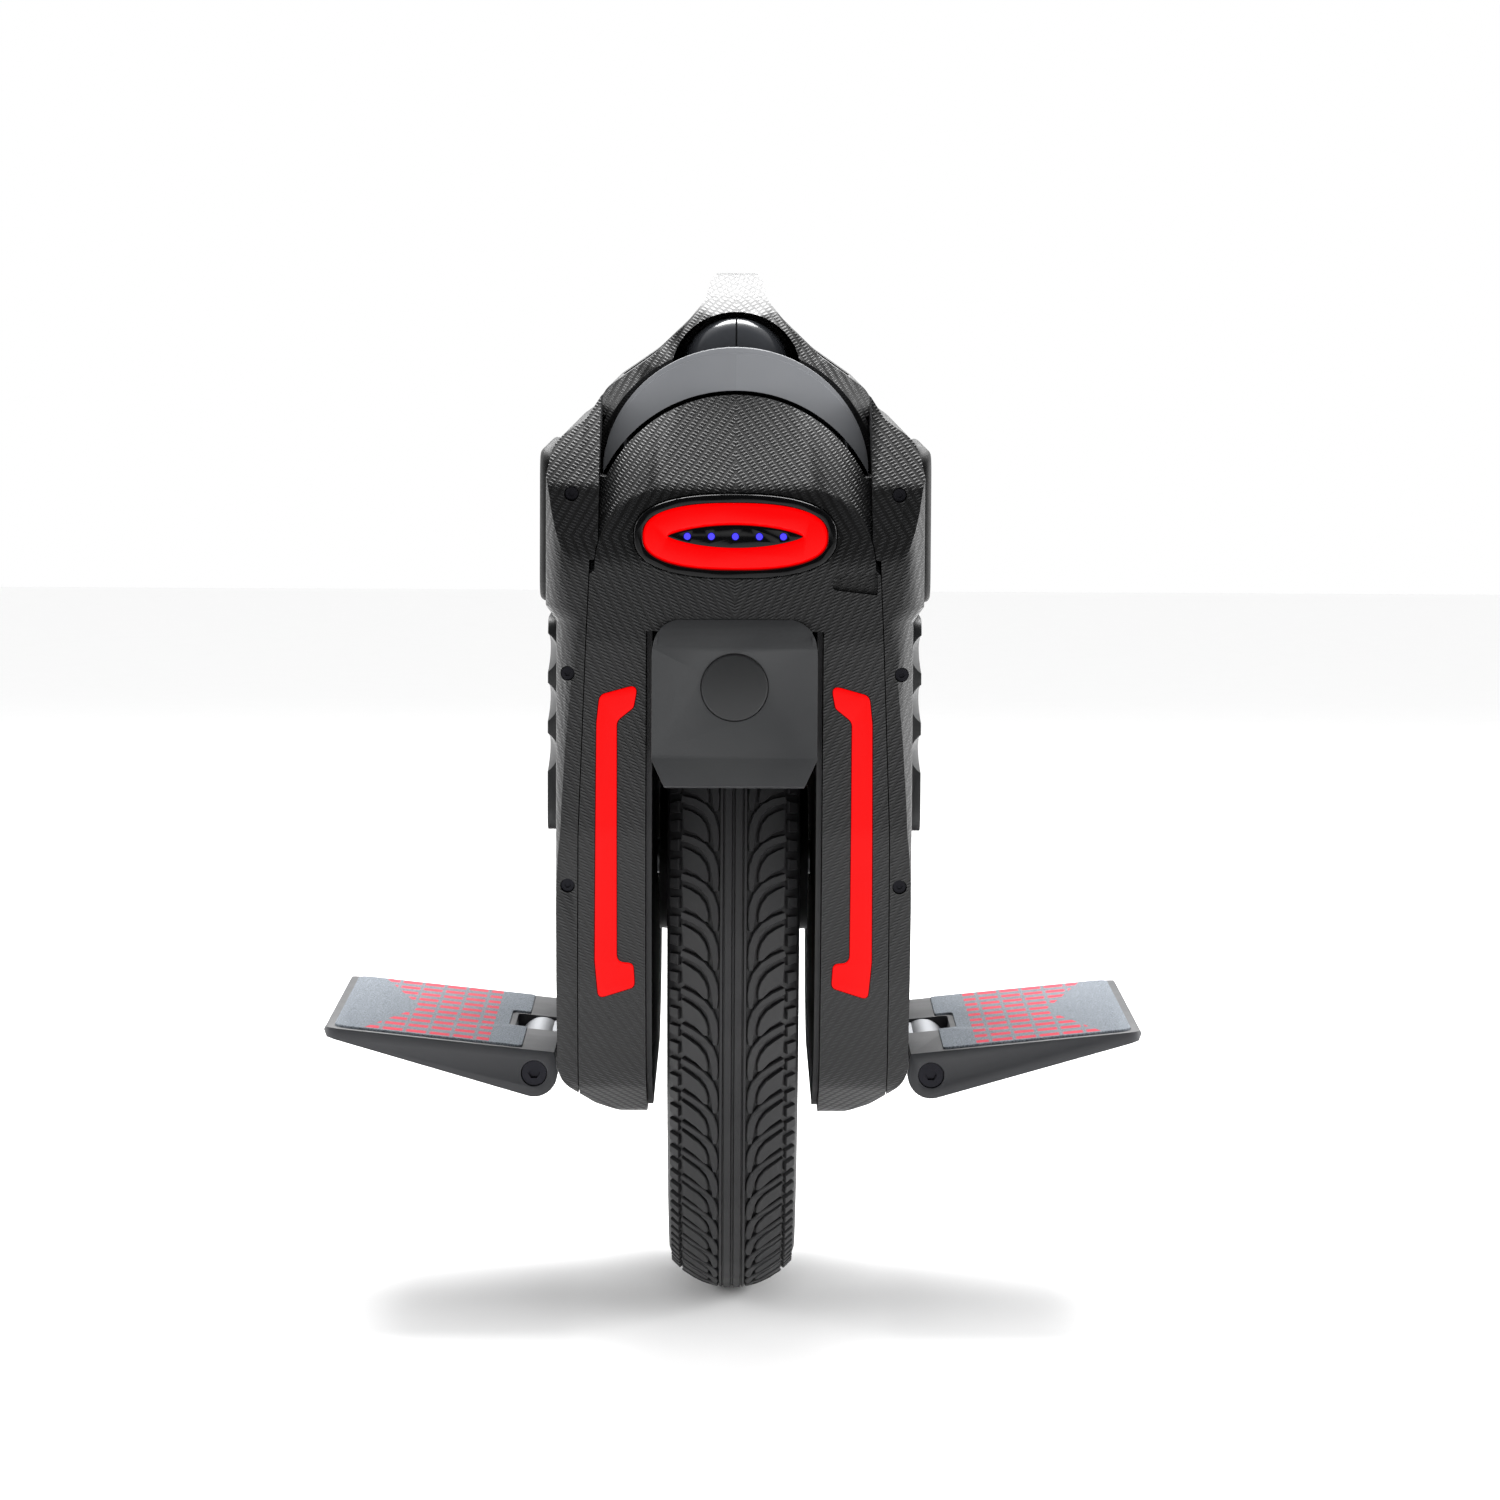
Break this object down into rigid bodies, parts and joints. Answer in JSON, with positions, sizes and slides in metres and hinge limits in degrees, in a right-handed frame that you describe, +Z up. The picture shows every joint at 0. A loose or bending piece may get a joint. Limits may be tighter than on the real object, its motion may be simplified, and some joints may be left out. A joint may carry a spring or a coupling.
{
  "type": "electric unicycle",
  "caption": "Self-balancing electric unicycle: hub-motor wheel in a textured shell with lights, a carry handle, a telescopic trolley handle and folding pedals.",
  "frame": {"origin": "on the ground, straight under the middle of the wheel's axle", "axes": "+Z up, +Y the way it travels, +X to the rider's right"},
  "size_m": [0.4, 0.48, 0.5094],
  "materials": {
    "tyre_rubber": "moulded tread",
    "tube_rubber": "smooth",
    "motor_aluminium": "cast, black anodised",
    "axle_steel": "turned",
    "screw_steel": "black oxide",
    "magnet_nickel": "nickel plated",
    "lamination_steel": "stamped laminations",
    "winding_copper": "enamelled wire",
    "hanger_alloy": "powder coated forging",
    "liner_plastic": "moulded, fine grain",
    "weave_plastic": "twill weave textured",
    "satin_plastic": "satin",
    "gloss_black_plastic": "polished",
    "red_diffuser": "lit red diffuser",
    "blue_led": "lit blue",
    "clear_lens": "polycarbonate lens",
    "white_diffuser": "white diffuser",
    "lamp_reflector": "vacuum metallised",
    "side_rubber": "soft moulded",
    "pedal_alloy": "powder coated magnesium",
    "grip_tape": "grit coated with red dashes",
    "trolley_aluminium": "anodised tube",
    "battery_wrap": "heat-shrink wrap",
    "board_laminate": "solder-masked laminate",
    "sink_aluminium": "extruded",
    "fan_plastic": "moulded",
    "button_plastic": "moulded",
    "socket_metal": "nickel plated brass"
  },
  "bodies": {
    "root": {"axle": "axle_steel", "stator_core": "lamination_steel", "stator_windings": "winding_copper", "pedal_hanger_left": "hanger_alloy", "pedal_hanger_right": "hanger_alloy", "axle_nuts": "axle_steel", "wheel_liner": "liner_plastic", "rear_cover": "weave_plastic", "front_cover": "weave_plastic", "top_cover": "weave_plastic", "handle_dome": "gloss_black_plastic", "side_shell_left": "weave_plastic", "side_shell_right": "weave_plastic", "shell_screws": "screw_steel", "side_bumper_left": "satin_plastic", "side_bumper_right": "satin_plastic", "side_grip_left": "side_rubber", "side_grip_right": "side_rubber", "rear_mudguard": "satin_plastic", "front_mudguard": "satin_plastic", "mudguard_badges": "satin_plastic", "tail_light_bezel": "gloss_black_plastic", "headlight_bezel": "gloss_black_plastic", "tail_light_ring": "red_diffuser", "charge_window": "gloss_black_plastic", "charge_leds": "blue_led", "headlight_lens": "clear_lens", "headlight_modules": "lamp_reflector", "tail_strips": "red_diffuser", "front_strips": "white_diffuser", "trolley_sleeves": "trolley_aluminium", "battery_pack_left": "battery_wrap", "battery_pack_right": "battery_wrap", "control_board": "board_laminate", "heat_sink": "sink_aluminium", "fan_frame": "fan_plastic", "charge_socket": "socket_metal"},
    "wheel": {"tyre": "tyre_rubber", "inner_tube": "tube_rubber", "wheel_rim": "motor_aluminium", "motor_cover_left": "motor_aluminium", "motor_cover_right": "motor_aluminium", "motor_cover_screws": "screw_steel", "rotor_magnets": "magnet_nickel", "valve_stem": "axle_steel", "wheel_bearings": "axle_steel"},
    "pedal_left": {"pedal_left": "pedal_alloy", "pedal_grip_left": "grip_tape", "pedal_pin_left": "screw_steel"},
    "pedal_right": {"pedal_right": "pedal_alloy", "pedal_grip_right": "grip_tape", "pedal_pin_right": "screw_steel"},
    "trolley_mid": {"trolley_mid_tubes": "trolley_aluminium"},
    "trolley_top": {"trolley_inner_tubes": "trolley_aluminium", "trolley_grip": "satin_plastic"},
    "trolley_release": {"trolley_button": "button_plastic"},
    "fan": {"fan_rotor": "fan_plastic"},
    "power_key": {"power_button": "button_plastic"},
    "lift_key": {"lift_switch": "button_plastic"},
    "charge_door": {"charge_flap": "side_rubber"}
  },
  "joints": [
    {"name": "wheel_spin", "type": "hinge", "parent": "root", "child": "wheel", "pos_m": [0, 0, 0.2165], "axis": [-1, 0, 0], "continuous": true},
    {"name": "pedal_left_fold", "type": "hinge", "parent": "root", "child": "pedal_left", "pos_m": [-0.097, 0, 0.12], "axis": [0, 1, 0], "range_deg": [0, 84]},
    {"name": "pedal_right_fold", "type": "hinge", "parent": "root", "child": "pedal_right", "pos_m": [0.097, 0, 0.12], "axis": [0, -1, 0], "range_deg": [0, 84]},
    {"name": "trolley_lower_slide", "type": "slide", "parent": "root", "child": "trolley_mid", "axis": [0, 0, 1], "range_m": [0, 0.17]},
    {"name": "trolley_upper_slide", "type": "slide", "parent": "trolley_mid", "child": "trolley_top", "axis": [0, 0, 1], "range_m": [0, 0.17]},
    {"name": "trolley_button_press", "type": "slide", "parent": "trolley_top", "child": "trolley_release", "axis": [0, 0, 1], "range_m": [0, 0.002], "stiffness_N_per_m": 400},
    {"name": "fan_spin", "type": "hinge", "parent": "root", "child": "fan", "pos_m": [-0.062, 0.06, 0.412], "axis": [1, 0, 0], "continuous": true},
    {"name": "power_button_press", "type": "slide", "parent": "root", "child": "power_key", "axis": [0, -0.4397, -0.8981], "range_m": [0, 0.0012], "stiffness_N_per_m": 400},
    {"name": "lift_switch_press", "type": "slide", "parent": "root", "child": "lift_key", "axis": [0, 0, 1], "range_m": [0, 0.002], "stiffness_N_per_m": 400},
    {"name": "charge_flap_swing", "type": "hinge", "parent": "root", "child": "charge_door", "pos_m": [0.0866, -0.1494, 0.372], "axis": [0, 0, 1], "range_deg": [0, 95]}
  ]
}
